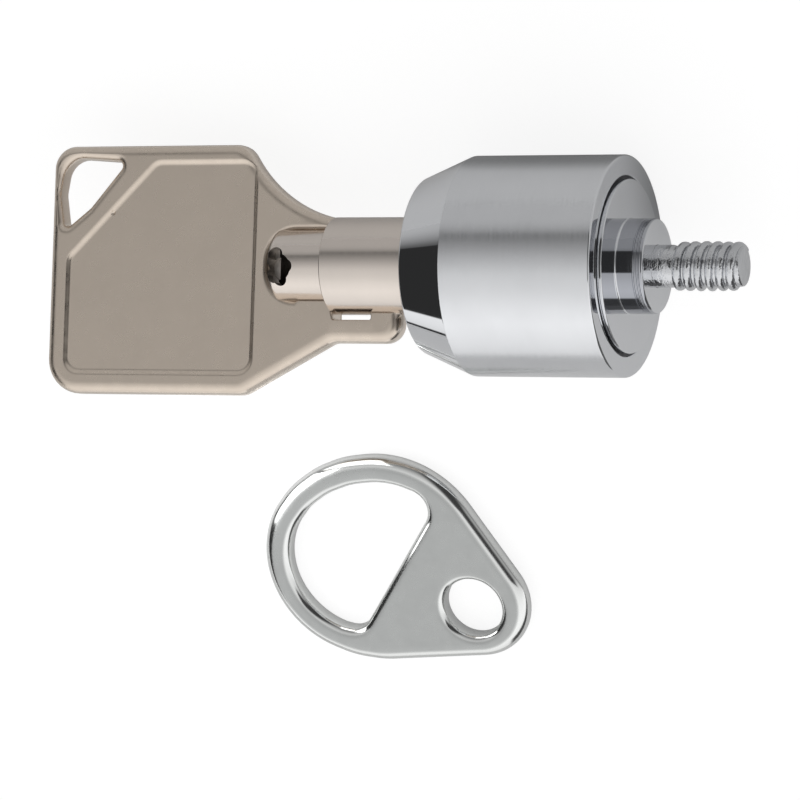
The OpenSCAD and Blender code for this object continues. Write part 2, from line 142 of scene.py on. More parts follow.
# dark flags, which take away light from a range of directions: from, to and softness along the axis, as the
# share of a unit direction, the same round it in degrees, and how bright the flag is; the dusk fades into
# the flag at the key end, and the lamp's frame is a thin line
KEY_DUSK = (-2, -0.76, 0.05, 17, 68, 22, 0.05)
KEY_FLAG = (-2, -0.76, 0.05, -64.5, 57, 1.15, 0.03)
EYE_FLAG = (0.22, 0.75, 0.12, 4, 57, 1.7, 0.05)
LAMP_FRAME = (-2, -0.55, 0.05, -87.3, -84, 0.35, 0.02)
SCREW_FLAG = (0.15, 2, 0.06, -112, -64, 3.4, 0.08)
air = bpy.data.worlds.new("studio_air")
air.use_nodes = True
bpy.context.scene.world = air
sky = air.node_tree
sky.nodes.clear()
way = add(sky, "ShaderNodeSeparateXYZ", {0: add(sky, "ShaderNodeTexCoord", {}).outputs["Generated"]})
along, away, height = way.outputs
angle = sums(sky, "DEGREES", sums(sky, "ARCTAN2", away, height))
level = ramp(sky, sums(sky, "MULTIPLY_ADD", angle, 1 / 360, 0.5), [(0.5 + a / 360, v) for a, v in SKY])
level = patched(sky, level, along, angle, (KEY_DUSK, KEY_FLAG, EYE_FLAG, LAMP_FRAME, SCREW_FLAG))
lit = add(sky, "ShaderNodeBackground", {0: level, 1: 1.0}).outputs[0]
white = add(sky, "ShaderNodeBackground", {0: (1, 1, 1, 1), 1: 1.0}).outputs[0]
seen = add(sky, "ShaderNodeLightPath", {}).outputs["Is Camera Ray"]
shown = add(sky, "ShaderNodeMixShader", {0: seen, 1: lit, 2: white}).outputs[0]
add(sky, "ShaderNodeOutputWorld", {0: shown})

# the table is white to the camera; what it throws on the parts is darker in two painted patches, a painted
# shadow under the lock and a painted dark patch past the screw's end towards -Y, in millimetres
PAINTED_SHADOW_UNDER_LOCK = (-19, -1, 2, -2, 14, 4, 0.3)
PAINTED_DARK_PATCH = (9, 3000, 1, -3000, -12, 1, 0.04)
sheet = bpy.data.meshes.new("table")
sheet.from_pydata([(x, y, TABLE_Z * MM) for x, y in ((-2, -2), (2, -2), (2, 2), (-2, 2))], [], [(0, 1, 2, 3)])
table = put_in_scene("table", sheet)
paper = bpy.data.materials.new("table_paper")
paper.use_nodes = True
pulp = paper.node_tree
pulp.nodes.clear()
spot = add(pulp, "ShaderNodeSeparateXYZ", {0: add(pulp, "ShaderNodeTexCoord", {}).outputs["Object"]}).outputs
spot_x = sums(pulp, "DIVIDE", spot[0], MM)
spot_y = sums(pulp, "DIVIDE", spot[1], MM)
# painted shade: the two patches darken the table's colour that the parts are lit by and mirror
tone = patched(pulp, (0.76, 0.76, 0.76, 1), spot_x, spot_y, (PAINTED_SHADOW_UNDER_LOCK, PAINTED_DARK_PATCH))
plain = add(pulp, "ShaderNodeBsdfDiffuse", {0: tone}).outputs[0]
glow = add(pulp, "ShaderNodeEmission", {0: (1, 1, 1, 1), 1: 0.86}).outputs[0]
thin = add(pulp, "ShaderNodeBsdfDiffuse", {0: (0.24, 0.24, 0.24, 1)}).outputs[0]
bright = add(pulp, "ShaderNodeAddShader", {0: glow, 1: thin}).outputs[0]
path = add(pulp, "ShaderNodeLightPath", {})
mirrored = sums(pulp, "MAXIMUM", path.outputs["Is Glossy Ray"], path.outputs["Is Transmission Ray"])
share = sums(pulp, "MAXIMUM", path.outputs["Is Camera Ray"], sums(pulp, "MULTIPLY", mirrored, 0.1))
add(pulp, "ShaderNodeOutputMaterial",
    {0: add(pulp, "ShaderNodeMixShader", {0: share, 1: plain, 2: bright}).outputs[0]})
sheet.materials.append(paper)

# two white cards beside the bracket, not seen by the camera: place, way they face, size, power, spread
for name, place, faced, size, power, spread in (
        ("left_card", (-47, -18.5, 2), (0.742, -0.28, -0.61), (15, 13), 0.0004, 76),
        ("top_card", (-36, -10.4, 2), (0, -1, 0), (14, 10), 0.0006, 180)):
    card = bpy.data.lights.new(name, "AREA")
    card.shape = "RECTANGLE"
    card.size = size[0] * MM
    card.size_y = size[1] * MM
    card.energy = power
    card.spread = math.radians(spread)
    card_stand = put_in_scene(name, card)
    card_stand.matrix_world = aimed(place, faced)
    card_stand.visible_camera = False

# Lock core: sleeve, rotor and stator.
# Free-cutting brass turned on an automatic lathe, the sleeve nickelled and the rest bare. The sleeve is
# pressed into the shell, and the rotor turns in it with the key, in front of the pinned stator.


def metal(name, colour, rough, grain, bump, tint=0.06, polish=None, bright=None, mask=None):
    """A bare or plated metal. Its turning or brushing marks are noise drawn out by grain, in marks a
    millimetre along X, Y and Z; bump is their depth in millimetres. mask turns an Object-space node into the
    share of a second surface, without marks, whose roughness is polish and colour bright: polish on the
    shell's ends, a painted highlight on the rounded edges of the key's bow and of the bracket, and painted
    shade on the carrier's boss and in the key's tail."""
    material = bpy.data.materials.new(name)
    material.use_nodes = True
    tree = material.node_tree
    skin = tree.nodes["Principled BSDF"]
    skin.inputs["Metallic"].default_value = 1.0
    place = add(tree, "ShaderNodeTexCoord", {}).outputs["Object"]
    drawn = add(tree, "ShaderNodeMapping", {0: place, 3: Vector(grain) / MM}).outputs[0]
    marks = add(tree, "ShaderNodeTexNoise", {0: drawn, 2: 1.0, 3: 3.0, 4: 0.6}).outputs[0]
    cloud = add(tree, "ShaderNodeTexNoise", {0: place, 2: 0.35 / MM, 3: 2.0, 4: 0.5}).outputs[0]
    roughness = add(tree, "ShaderNodeMapRange",
                    {0: marks, 1: 0.3, 2: 0.7, 3: rough * 0.8, 4: rough * 1.25}).outputs[0]
    dark = tuple(c * (1 - tint) for c in colour)
    tone = mixed(tree, cloud, (*dark, 1), (*colour, 1))
    depth = 1.0
    if mask:
        # the mask's share takes the second colour, which is polish on the shell, painted highlight on rounded
        # edges and painted shade on the boss and in the tail
        polish_and_painted_light = mask(tree, add(tree, "ShaderNodeSeparateXYZ", {0: place}).outputs)
        roughness = add(tree, "ShaderNodeMix", {0: polish_and_painted_light, 2: roughness, 3: polish}).outputs[0]
        tone = mixed(tree, polish_and_painted_light, tone, (*bright, 1))
        depth = sums(tree, "SUBTRACT", 1.0, polish_and_painted_light)
    tree.links.new(tone, skin.inputs["Base Color"])
    tree.links.new(roughness, skin.inputs["Roughness"])
    relief = add(tree, "ShaderNodeBump", {"Strength": depth, "Distance": bump * MM, "Height": marks})
    tree.links.new(relief.outputs[0], skin.inputs["Normal"])
    return material


def dress(material, *names):
    """Gives CAD nodes that keep their own shape their finish."""
    for name in names:
        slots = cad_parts[name].data.materials
        slots.clear()
        slots.append(material)


turned_brass = metal("turned_brass", (0.72, 0.60, 0.34), rough=0.22, grain=(9, 0.3, 0.3), bump=0.0015,
                     tint=0.12)
dress(turned_brass, "rotor", "stator", "thrust_washer")
plated_brass = metal("plated_brass", (0.60, 0.60, 0.60), rough=0.2, grain=(9, 0.3, 0.3), bump=0.0015,
                     tint=0.1)
dress(plated_brass, "lock_sleeve")

# Cross pin, dowel and clutch.
# Hardened steel pins ground between wheels, and a sintered steel clutch plate with ramps and dogs, oiled.
ground_steel = metal("ground_steel", (0.50, 0.51, 0.53), rough=0.28, grain=(2.5, 2.5, 2.5), bump=0.002,
                     tint=0.15)
dress(ground_steel, "cross_pin", "stator_dowel", "clutch_slider")

# Key pins and driver pins.
# Nickel silver wire, headed and cut to length; eight of each stand in the rotor and the stator.
PINS = 8
pin_metal = metal("pin_metal", (0.70, 0.69, 0.64), rough=0.2, grain=(8, 0.5, 0.5), bump=0.001)
for k in range(1, PINS + 1):
    dress(pin_metal, f"key_pin_{k}", f"driver_pin_{k}")

# Springs behind the pins and behind the clutch, and the ring that holds the carrier.
# Music wire, wound cold and closed at both ends; one winder makes all nine springs. The ring is blackened
# spring steel that snaps into grooves of the shell and the carrier.
spring_wire = metal("spring_wire", (0.58, 0.59, 0.61), rough=0.2, grain=(3, 3, 3), bump=0.0008)
black_ring = metal("black_ring", (0.05, 0.05, 0.055), rough=0.4, grain=(3, 3, 3), bump=0.001)
dress(black_ring, "retaining_ring")


def wire_tree(name, posts):
    """A wire wound round X: one coil, or posts coils on a circle round the axis, as on a pin block."""
    tree = bpy.data.node_groups.new(name, "GeometryNodeTree")
    face = tree.interface
    face.new_socket("Geometry", in_out="OUTPUT", socket_type="NodeSocketGeometry")
    for label, kind in (("Start", "Float"), ("Length", "Float"), ("Coil radius", "Float"), ("Turns", "Float"),
                        ("Steps a turn", "Int"), ("Wire width", "Float"), ("Wire height", "Float"),
                        ("Circle radius", "Float"), ("First post", "Float"), ("Finish", "Material")):
        face.new_socket(label, in_out="INPUT", socket_type=f"NodeSocket{kind}")
    given = add(tree, "NodeGroupInput", {}).outputs
    helix = add(tree, "GeometryNodeCurveSpiral", {
        "Resolution": given["Steps a turn"], "Rotations": given["Turns"], "Height": given["Length"],
        "Start Radius": given["Coil radius"], "End Radius": given["Coil radius"]}).outputs[0]
    ring = add(tree, "GeometryNodeCurvePrimitiveCircle", {"Resolution": 14, "Radius": 0.5}).outputs[0]
    size = add(tree, "ShaderNodeCombineXYZ", {0: given["Wire height"], 1: given["Wire width"], 2: 1.0})
    section = add(tree, "GeometryNodeTransform", {"Geometry": ring, "Scale": size.outputs[0]}).outputs[0]
    wound = add(tree, "GeometryNodeCurveToMesh", {
        "Curve": helix, "Profile Curve": section, "Fill Caps": True}).outputs[0]
    lift = add(tree, "ShaderNodeCombineXYZ", {0: given["Start"]}).outputs[0]
    coil = add(tree, "GeometryNodeTransform", {
        "Geometry": wound, "Translation": lift, "Rotation": (0, math.radians(90), 0)}).outputs[0]
    if posts > 1:
        circle = add(tree, "GeometryNodeMeshCircle", {
            "Vertices": posts, "Radius": given["Circle radius"]}).outputs[0]
        upright = add(tree, "GeometryNodeTransform", {
            "Geometry": circle, "Rotation": (math.radians(90), 0, math.radians(90))}).outputs[0]
        swing = add(tree, "ShaderNodeCombineXYZ", {0: given["First post"]}).outputs[0]
        swung = add(tree, "GeometryNodeTransform", {"Geometry": upright, "Rotation": swing}).outputs[0]
        coil = add(tree, "GeometryNodeInstanceOnPoints", {"Points": swung, "Instance": coil}).outputs[0]
    real = add(tree, "GeometryNodeRealizeInstances", {"Geometry": coil}).outputs[0]
    done = add(tree, "GeometryNodeSetMaterial", {"Geometry": real, "Material": given["Finish"]}).outputs[0]
    add(tree, "NodeGroupOutput", {0: done})
    return tree


def grow(name, tree, given):
    """Runs a node tree once and keeps its result as a plain mesh."""
    seed = put_in_scene(name + "_seed", bpy.data.meshes.new(name + "_seed"))
    maker = seed.modifiers.new("maker", "NODES")
    maker.node_group = tree
    for item in tree.interface.items_tree:
        if item.in_out == "INPUT" and item.name in given:
            maker[item.identifier] = given[item.name]
    seed.update_tag()
    mesh = bpy.data.meshes.new_from_object(seed.evaluated_get(bpy.context.evaluated_depsgraph_get()))
    bpy.data.objects.remove(seed)
    mesh.name = name
    return put_in_scene(name, mesh)


def smooth(piece, sharp=32):
    """Smooth shading, kept crisp where faces meet at more than sharp degrees, with faces outwards."""
    shape = bmesh.new()
    shape.from_mesh(piece.data)
    bmesh.ops.remove_doubles(shape, verts=shape.verts, dist=1e-7)
    bmesh.ops.recalc_face_normals(shape, faces=shape.faces)
    shape.to_mesh(piece.data)
    shape.free()
    piece.data.shade_smooth()
    piece.data.set_sharp_from_angle(angle=math.radians(sharp))
    return piece


STATOR_FRONT = -10.8
STATOR_REAR = -7.45
DRIVER_L = 1.3
PIN_R = 0.55
PIN_CIRCLE_R = 3.1425
PIN_STEP = 360 / PINS
PIN_WIRE = 0.18
PIN_TURNS = 4
SPRING_FLOOR = -8.0
SPRING_FRONT = STATOR_FRONT + DRIVER_L
pin_winder = wire_tree("pin_spring_winder", PINS // 2)
# the pins are long and short in turn; the springs of the odd and the even pins are made as two groups, both
# of the same length
for group, first in (("long", 1), ("short", 2)):
    springs = grow(f"pin_springs_{group}", pin_winder, {
        "Start": (SPRING_FRONT + PIN_WIRE / 2) * MM, "Length": (SPRING_FLOOR - SPRING_FRONT - PIN_WIRE) * MM,
        "Coil radius": (PIN_R - PIN_WIRE / 2) * MM, "Turns": float(PIN_TURNS), "Steps a turn": 24,
        "Wire width": PIN_WIRE * MM, "Wire height": PIN_WIRE * MM, "Circle radius": PIN_CIRCLE_R * MM,
        "First post": math.radians(PIN_STEP) * (first - 1), "Finish": spring_wire})
    smooth(springs, sharp=60)
    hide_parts(*[f"pin_spring_{k}" for k in range(first, PINS + 1, 2)])
    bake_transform(springs)

CLUTCH_WIRE = 0.3
CLUTCH_COIL_R = 2.4
CLUTCH_TURNS = 3.5
SLIDER_REAR = -5.55
WASHER_FRONT = -2.9
wound_wire = wire_tree("wire_winder", 1)
clutch_spring = grow("clutch_spring_coil", wound_wire, {
    "Start": (SLIDER_REAR + CLUTCH_WIRE / 2) * MM, "Length": (WASHER_FRONT - SLIDER_REAR - CLUTCH_WIRE) * MM,
    "Coil radius": CLUTCH_COIL_R * MM, "Turns": CLUTCH_TURNS, "Steps a turn": 48,
    "Wire width": CLUTCH_WIRE * MM, "Wire height": CLUTCH_WIRE * MM, "Finish": spring_wire})
smooth(clutch_spring, sharp=60)
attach(clutch_spring, "housing")
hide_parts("clutch_spring")
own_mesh(clutch_spring)

# Screw carrier: the disc and the boss at the rear of the lock.
# Turned steel with bright chrome. Fine tool rings are left round the boss; the disc's front has a pocket
# for the clutch spring and twelve notches that the clutch's dogs drop into.
CARRIER_REAR = -2.05
CARRIER_FRONT = -4.25
CARRIER_R = 6.38
BOSS_R = 3.425
POCKET_R = 3.2
POCKET_FLOOR = -2.6
RING_FRONT = -3.05
RING_REAR = -2.45
RING_IN_R = 5.92
LIP_R = 6.26
SCREW_ROOT_R = 1.53
SCREW_SEAT = -1.5
NOTCHES = 12
NOTCH_IN_R = 4.25
NOTCH_OUT_R = 5.65
NOTCH_W = 1.4
NOTCH_DEPTH = 1.2
OVERRUN = 1.0


def arc(middle, radius, start, sweep, steps, *more):
    """Points along an arc with both its ends, each as x, y and anything more."""
    turns = [start + sweep * k / steps for k in range(steps + 1)]
    return [(middle[0] + radius * math.cos(a), middle[1] + radius * math.sin(a), *more) for a in turns]


def soften(corners):
    """Rounds the corners of a closed outline: rows of x, y, corner radius and anything more. A point
    just off each arc keeps the flats beside it flat under smooth shading."""
    out = []
    for i, (x, y, radius, *more) in enumerate(corners):
        corner = np.array((x, y), float)
        if radius == 0:
            out.append((*corner, *more))
            continue
        back = np.array(corners[i - 1][:2], float) - corner
        on = np.array(corners[(i + 1) % len(corners)][:2], float) - corner
        back_l, on_l = np.linalg.norm(back), np.linalg.norm(on)
        back /= back_l
        on /= on_l
        half = math.acos(float(np.clip(back @ on, -1, 1))) / 2
        reach = radius / math.tan(half)
        middle = corner + (back + on) / np.linalg.norm(back + on) * radius / math.sin(half)
        first = corner + back * reach - middle
        last = corner + on * reach - middle
        start = math.atan2(first[1], first[0])
        sweep = (math.atan2(last[1], last[0]) - start + math.pi) % (2 * math.pi) - math.pi
        steps = max(3, round(abs(sweep) / math.radians(9)))
        out.append((*(corner + back * (reach + min(0.05, (back_l - reach) / 3))), *more))
        out += arc(middle, radius, start, sweep, steps, *more)
        out.append((*(corner + on * (reach + min(0.05, (on_l - reach) / 3))), *more))
    return out


def piece_from(name, shape):
    """Makes a finished bmesh a piece of the scene."""
    mesh = bpy.data.meshes.new(name)
    shape.to_mesh(mesh)
    shape.free()
    return put_in_scene(name, mesh)


def turned(name, outline, around=160):
    """A turned piece: an outline of x and radius, spun about the lock's axis."""
    shape = bmesh.new()
    rings = []
    for x, r in outline:
        if r < 1e-6:
            rings.append([shape.verts.new((x * MM, 0, 0))] * around)
        else:
            rings.append([shape.verts.new((x * MM, r * MM * math.cos(a), r * MM * math.sin(a)))
                          for a in (2 * math.pi * k / around for k in range(around))])
    for near, far in zip(rings, rings[1:] + rings[:1]):
        if near[0] is near[1] and far[0] is far[1]:
            continue
        for k in range(around):
            j = (k + 1) % around
            shape.faces.new(dict.fromkeys((near[k], near[j], far[j], far[k])))
    return smooth(piece_from(name, shape))


def machined(piece, tool, operation="DIFFERENCE"):
    """Cuts a tool's shape out of a piece, or adds it, and scraps the tool."""
    step = piece.modifiers.new("machined", "BOOLEAN")
    step.object = tool
    step.operation = operation
    step.solver = "EXACT"
    cut = bpy.data.meshes.new_from_object(piece.evaluated_get(bpy.context.evaluated_depsgraph_get()))
    piece.modifiers.remove(step)
    cut.name = piece.data.name
    piece.data = cut
    bpy.data.objects.remove(tool)
    return smooth(piece)


def blocks(name, boxes):
    """Milling cutters: boxes of x0, x1, r0, r1, width and the angle at which each stands round the axis."""
    shape = bmesh.new()
    for x0, x1, r0, r1, width, angle in boxes:
        block = bmesh.ops.create_cube(shape, size=1)["verts"]
        bmesh.ops.scale(shape, verts=block, vec=Vector((x1 - x0, r1 - r0, width)) * MM)
        bmesh.ops.translate(shape, verts=block, vec=Vector(((x0 + x1) / 2, (r0 + r1) / 2, 0)) * MM)
        turn = Matrix.Rotation(math.radians(angle), 3, "X")
        bmesh.ops.rotate(shape, verts=block, cent=(0, 0, 0), matrix=turn)
    return piece_from(name, shape)


# the tool's rings round the boss: place along the axis, depth and half width
tool_rings = []
for x, depth, width in ((-0.78, 0.03, 0.03), (-0.66, 0.05, 0.035), (-0.56, 0.03, 0.025), (-0.46, 0.055, 0.04),
                        (-0.36, 0.04, 0.03), (-0.27, 0.05, 0.035)):
    tool_rings += [(x - width, BOSS_R, 0), (x - width / 3, BOSS_R - depth, 0),
                   (x + width / 3, BOSS_R - depth, 0), (x + width, BOSS_R, 0)]
carrier = turned("carrier_disc", soften([
    (POCKET_FLOOR, 0, 0), (POCKET_FLOOR, POCKET_R, 0.1), (CARRIER_FRONT, POCKET_R, 0.05),
    (CARRIER_FRONT, CARRIER_R, 0.1), (RING_FRONT, CARRIER_R, 0.04), (RING_FRONT, RING_IN_R, 0.04),
    (RING_REAR, RING_IN_R, 0.04), (RING_REAR, LIP_R, 0), (CARRIER_REAR, LIP_R, 0.06),
    (CARRIER_REAR, BOSS_R, 0.05), *tool_rings, (0, BOSS_R, 0.2), (0, SCREW_ROOT_R, 0.04),
    (SCREW_SEAT, SCREW_ROOT_R, 0), (SCREW_SEAT, 0, 0)]))
notch_angles = [360 / NOTCHES * (n + 0.5) for n in range(NOTCHES)]
machined(carrier, blocks("notch_cutters", [
    (CARRIER_FRONT - OVERRUN, CARRIER_FRONT + NOTCH_DEPTH, NOTCH_IN_R, NOTCH_OUT_R, NOTCH_W, turn)
    for turn in notch_angles]))


def boss_painted_shade(tree, axes):
    """The boss, between the disc and its seat on the case, whose chrome is darkened as painted shade."""
    return between(tree, axes[0], (CARRIER_REAR + 0.1) * MM, -0.05 * MM, 0.03 * MM)


# painted shade: the boss's chrome is given a much darker colour than the disc's
carrier_chrome = metal("carrier_chrome", (0.78, 0.79, 0.81), rough=0.06, grain=(16, 0.3, 0.3), bump=0.0006,
                       tint=0.04, polish=0.07, bright=(0.45, 0.46, 0.49), mask=boss_painted_shade)
carrier.data.materials.append(carrier_chrome)
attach(carrier, "screw")
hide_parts("screw_carrier")

# Case screw.
# A number 6-32 machine screw of chromed steel, pressed in the boss: a plain neck, then a rolled
# right-hand thread with rounded crests up to the flat end.
SCREW_R = 1.75
THREAD_ROOT = 1.45
PITCH = 0.794
CREST_W = 0.7
SCREW_L = 6.5
THREAD_START = 1.45
THREAD_END = 6.15
stud = turned("screw_stud", soften([
    (SCREW_SEAT, 0, 0), (SCREW_SEAT, SCREW_ROOT_R, 0.05), (THREAD_START - 0.25, SCREW_ROOT_R, 0.06),
    (THREAD_START, THREAD_ROOT, 0.05), (SCREW_L, THREAD_ROOT, 0.18), (SCREW_L, 0, 0)]), around=96)
thread = grow("screw_thread", wound_wire, {
    "Start": THREAD_START * MM, "Length": (THREAD_END - THREAD_START) * MM, "Coil radius": THREAD_ROOT * MM,
    "Turns": (THREAD_END - THREAD_START) / PITCH, "Steps a turn": 72, "Wire width": CREST_W * MM,
    "Wire height": 2 * (SCREW_R - THREAD_ROOT) * MM})
machined(stud, thread, "UNION")
screw_chrome = metal("screw_chrome", (0.74, 0.75, 0.77), rough=0.05, grain=(2.6, 1.7, 1.7), bump=0.07,
                     tint=0.4)
stud.data.materials.append(screw_chrome)
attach(stud, "screw")
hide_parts("case_screw")

# Shell: the free-turning outer body.
# Zinc or brass bar turned in one chucking and chromed. The cylinder keeps the fine lines of the turning
# tool, and the cone at the key end and the rear rim are polished bright.
SHELL_R = 8.0
NOSE_R = 6.45
NOSE_X = -17.45
EDGE_X = -13.75
RIM_X = -2.35
BAY_R = 6.47
BAY_FRONT = -4.55
GROOVE_R = 6.77
GROOVE_FRONT = -3.0
GROOVE_REAR = -2.5
SLEEVE_R = 6.0
SHOULDER_X = -14.45
NECK_R = 5.0
EAR_R = 6.45
EAR_W = 2.2
casing = turned("shell_casing", soften([
    (NOSE_X, NECK_R, 0.06), (NOSE_X, NOSE_R, 0.22), (EDGE_X, SHELL_R, 0.12), (RIM_X, SHELL_R, 0.15),
    (RIM_X, BAY_R, 0.13), (GROOVE_REAR, BAY_R, 0), (GROOVE_REAR, GROOVE_R, 0), (GROOVE_FRONT, GROOVE_R, 0),
    (GROOVE_FRONT, BAY_R, 0), (BAY_FRONT, BAY_R, 0.03), (BAY_FRONT, SLEEVE_R, 0), (SHOULDER_X, SLEEVE_R, 0),
    (SHOULDER_X, NECK_R, 0)]), around=224)
machined(casing, blocks("ear_grooves", [
    (STATOR_REAR, CARRIER_FRONT, 0, EAR_R, EAR_W, side) for side in (0, 180)]))


def polished_ends(tree, axes):
    """The cone and the rear rim."""
    cone = between(tree, axes[0], -1, (EDGE_X - 0.05) * MM, 0.04 * MM)
    rim = between(tree, axes[0], (RIM_X - 0.12) * MM, 1, 0.04 * MM)
    return sums(tree, "MAXIMUM", cone, rim)


shell_chrome = metal("shell_chrome", (0.75, 0.76, 0.78), rough=0.18, grain=(6, 0.6, 0.6), bump=0.012,
                     tint=0.08, polish=0.045, bright=(0.75, 0.76, 0.78), mask=polished_ends)
casing.data.materials.append(shell_chrome)
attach(casing, "housing")
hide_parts("shell")

# Key barrel.
# Drawn brass tube with satin nickel. Eight slots in its end set the pins, a nub keeps it in the lock,
# and its necked tail lies in the bow's window, where it was cut off and staked.
TUBE_X = -24.95
TUBE_R = 3.585
TUBE_BORE_R = 2.7
KEY_END = -12.95
TAIL_X = -29.55
TAIL_R = 2.75
TAIL_BORE_R = 2.0
KEY_ROLL = math.radians(-25)
FLANGE_FRONT = -12.85
NECK_WALL = 1.2
TAIL_WALL = 0.6
SLOT_R = 0.54
SLOT_DEPTH = 0.55
DEEP_SLOT = 0.4
NUB_TURN = 22.5
barrel = turned("key_tube", soften([
    (TAIL_X, 0, 0), (TAIL_X, TAIL_R, 0.5), (TUBE_X, TAIL_R, 0.1), (TUBE_X, TUBE_R, 0.1),
    (KEY_END, TUBE_R, 0.15), (KEY_END, TUBE_BORE_R, 0.08), (TUBE_X + NECK_WALL, TUBE_BORE_R, 0.2),
    (TUBE_X + NECK_WALL, TAIL_BORE_R, 0.1), (TAIL_X + TAIL_WALL, TAIL_BORE_R, 0.1),
    (TAIL_X + TAIL_WALL, 0, 0)]))
outer_nub = (KEY_END - 1.3, KEY_END - 0.3, 2.9, TUBE_R + 0.5, 1.2, NUB_TURN)
inner_nub = (KEY_END - 2.5, KEY_END - 0.02, 2.25, 2.95, 0.8, NUB_TURN)
for nub in (outer_nub, inner_nub):
    machined(barrel, blocks("nub", [nub]), "UNION")


def drills(name, holes):
    """Drills: rows of x0, x1, radius and the angle at which each stands on the pin circle."""
    shape = bmesh.new()
    lying = Matrix.Rotation(math.pi / 2, 4, "Y")
    for x0, x1, r, angle in holes:
        drill = bmesh.ops.create_cone(shape, cap_ends=True, segments=32, radius1=r * MM, radius2=r * MM,
                                      depth=(x1 - x0) * MM, matrix=lying)["verts"]
        a = math.radians(angle)
        bmesh.ops.translate(shape, verts=drill, vec=Vector(
            ((x0 + x1) / 2, PIN_CIRCLE_R * math.cos(a), PIN_CIRCLE_R * math.sin(a))) * MM)
    return piece_from(name, shape)


slot_floors = [FLANGE_FRONT - SLOT_DEPTH - DEEP_SLOT * (k % 2) for k in range(PINS)]
machined(barrel, drills("pin_slots", [
    (floor, KEY_END + OVERRUN, SLOT_R, PIN_STEP * k) for k, floor in enumerate(slot_floors)]))
# the torn hole in the tail: punches, each with its place from the tail's end, radius and lowest point
for x, y, r, floor in ((0.95, -0.3, 1.1, 1.2), (0.75, 0.6, 0.65, 1.4), (1.1, -1.1, 0.6, 1.3),
                       (1.65, -0.2, 0.55, 1.7), (0.6, -0.95, 0.55, 1.5)):
    shape = bmesh.new()
    standing = Matrix.Rotation(KEY_ROLL, 4, "X") @ Matrix.Translation(Vector((TAIL_X + x, y, floor + 2)) * MM)
    bmesh.ops.create_cone(shape, cap_ends=True, segments=24, radius1=r * 0.8 * MM, radius2=r * 1.2 * MM,
                          depth=4 * MM, matrix=standing)
    machined(barrel, piece_from("bite", shape))


def tail_painted_shade(tree, axes):
    """Inside the tail and round its end, darkened as painted shade of the hollow."""
    off_axis = sums(tree, "SQRT", sums(tree, "ADD", sums(tree, "MULTIPLY", axes[1], axes[1]),
                                       sums(tree, "MULTIPLY", axes[2], axes[2])))
    # the tail's hollow, darkened as painted shade
    scale = sums(tree, "MULTIPLY", between(tree, off_axis, -1, (TAIL_R - 0.15) * MM, 0.1 * MM),
                 between(tree, axes[0], (TAIL_X + 0.05) * MM, (TUBE_X + 1.3) * MM, 0.1 * MM))
    return sums(tree, "MAXIMUM", scale, between(tree, axes[0], -1, (TAIL_X + 0.3) * MM, 0.1 * MM))


# painted shade: the tail's hollow and its end are given a dark grey
tube_nickel = metal("tube_nickel", (0.72, 0.655, 0.60), rough=0.17, grain=(4, 0.4, 0.4), bump=0.002,
                    tint=0.06, polish=0.35, bright=(0.42, 0.39, 0.36), mask=tail_painted_shade)
barrel.data.materials.append(tube_nickel)
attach(barrel, "key")
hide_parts("key_barrel")

# Key bow.
# Blanked and coined steel plate with satin nickel, tumbled so that every edge is round. A sunk panel is
# struck in both faces, a window holds the barrel's tail and an arm runs along the tube behind a slit.
SQUARE_X = -30.95
BOW_X = -48.15
BOW_TOP = 9.0
BOW_BOTTOM = -9.6
BOW_T = 2.0
BOW_CORNER = 1.7
LOW_CORNER = 2.6
SWEEP_R = 10.15
SWEEP_X = 1.9
SWEEP_Y = 4.5
ARM_Y = -5.685
ARM_END = -19.45
SLIT_W = 0.42
SLIT_END = TUBE_X + 3.2
WINDOW_END = TUBE_X - 5.25
WINDOW_CORNER = 2.3
PANEL_DEPTH = 0.2
PANEL_STEP = 0.42
PANEL_CORNER = 1.3
PANEL_RIM = 1.4
PANEL_TOP = BOW_TOP - 1.1
EDGE_ROUND = 0.8
HOLE_ROUND = 0.65
WINDOW_ROUND = 0.4
SLIT_ROUND = 0.08
# how far in from an edge a plate's points lie, in shares of the width over which its height changes there
ROUND_SHARES = [1 - math.cos(math.radians(a)) for a in range(10, 91, 10)] + [1.12]
PANEL_SHARES = (-0.15, 0, 0.14, 0.28, 0.42, 0.56, 0.7, 0.84, 1, 1.15)
DOT_SHARES = (0.25, 0.5, 0.75, 1.0, 1.1)
DOT_SIDES = 14
PUNCH_MARK = (-43.0, 3.95, 0.2, 0.1)


def sides(outline):
    """Where each straight piece of a closed outline starts and ends."""
    return outline[:, :2], np.roll(outline[:, :2], -1, 0)


def gap(points, starts, ends):
    """Distance from each point to the nearest of some straight pieces of outline."""
    span = ends - starts
    lengths = np.maximum((span ** 2).sum(1), 1e-12)
    out = np.empty(len(points))
    for first in range(0, len(points), 2000):
        some = points[first:first + 2000, None, :] - starts
        share = np.clip((some * span).sum(2) / lengths, 0, 1)
        out[first:first + 2000] = np.sqrt(((some - share[..., None] * span) ** 2).sum(2).min(1))
    return out


def inside(points, outline):
    """Whether each point lies inside a closed outline."""
    x, y = points[:, 0, None], points[:, 1, None]
    x0, y0 = outline[:, 0], outline[:, 1]
    x1, y1 = np.roll(x0, -1), np.roll(y0, -1)
    crosses = (y0 > y) != (y1 > y)
    at = x0 + (y - y0) * (x1 - x0) / np.where(y1 == y0, 1e-12, y1 - y0)
    return (crosses & (x < at)).sum(1) % 2 == 1


def finely(outline, step=0.35):
    """Splits the long straight pieces of an outline."""
    rows = np.array(outline, float)
    out = []
    for here, there in zip(rows, np.roll(rows, -1, 0)):
        parts = max(1, math.ceil(np.linalg.norm((there - here)[:2]) / step))
        for k in range(parts):
            out.append([*(here[:2] + (there - here)[:2] * (k / parts)), *here[2:]])
    return np.array(out)


